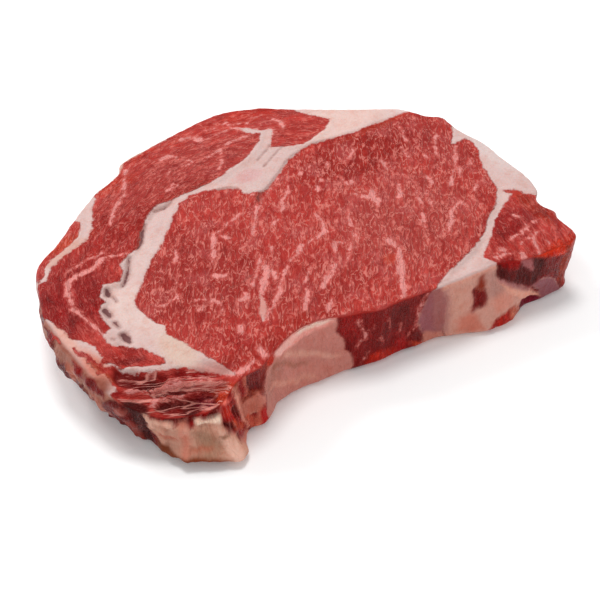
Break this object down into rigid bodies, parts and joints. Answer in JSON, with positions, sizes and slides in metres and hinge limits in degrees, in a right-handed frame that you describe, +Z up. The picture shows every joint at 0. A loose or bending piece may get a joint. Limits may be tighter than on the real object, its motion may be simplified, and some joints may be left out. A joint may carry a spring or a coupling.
{
  "type": "raw ribeye steak",
  "caption": "Thick boneless slice of raw marbled beef: a round eye of lean with a curved cap over it, white fat seams between them and a thin torn tail. Lies flat.",
  "frame": {"origin": "under the middle of the part, on the surface that it lies on", "axes": "+X along the longest side towards the thick rib end, +Y towards the fat cap, +Z up out of the upper cut face"},
  "size_m": [0.1876, 0.1374, 0.0275],
  "materials": {
    "meat": "moist satin raw beef, red lean marbled with pale pink-white fat"
  },
  "bodies": {
    "root": {"steak": "meat"}
  },
  "joints": []
}
